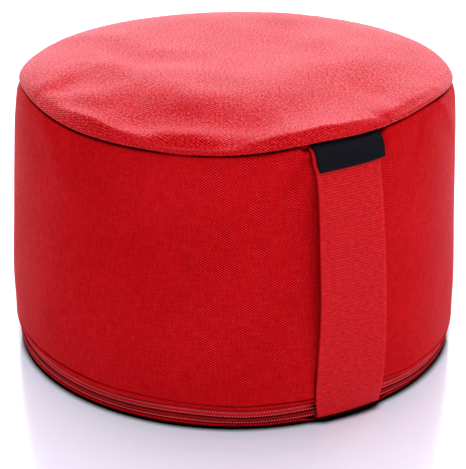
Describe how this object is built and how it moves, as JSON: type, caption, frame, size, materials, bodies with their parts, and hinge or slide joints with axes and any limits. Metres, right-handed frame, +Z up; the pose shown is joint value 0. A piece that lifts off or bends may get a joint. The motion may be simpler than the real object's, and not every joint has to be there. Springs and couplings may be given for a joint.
{
  "type": "zafu meditation cushion",
  "caption": "Round red canvas floor cushion with a crowned top, a webbing carrying strap, a zip round its foot and a blank black side label.",
  "frame": {"origin": "middle of the flat base, on the surface the cushion stands on", "axes": "+Z up through the middle of the crown; -Y towards the carrying strap and the label; +X to the right when facing the strap"},
  "size_m": [0.3369, 0.3473, 0.2194],
  "materials": {
    "canvas": "matt red cotton canvas with a fine grain",
    "zip_tape": "woven red zip tape with pale stitches",
    "zip_coil": "red nylon coil, slightly shiny",
    "webbing": "red cross-ribbed webbing with flat edges",
    "ribbon": "black satin ribbon, blank"
  },
  "bodies": {
    "root": {"side_band": "canvas", "top_panel": "canvas", "base_panel": "canvas", "zip_tape_upper": "zip_tape", "zip_tape_lower": "zip_tape", "zip_coil": "zip_coil", "strap": "webbing", "label": "ribbon"}
  },
  "joints": []
}
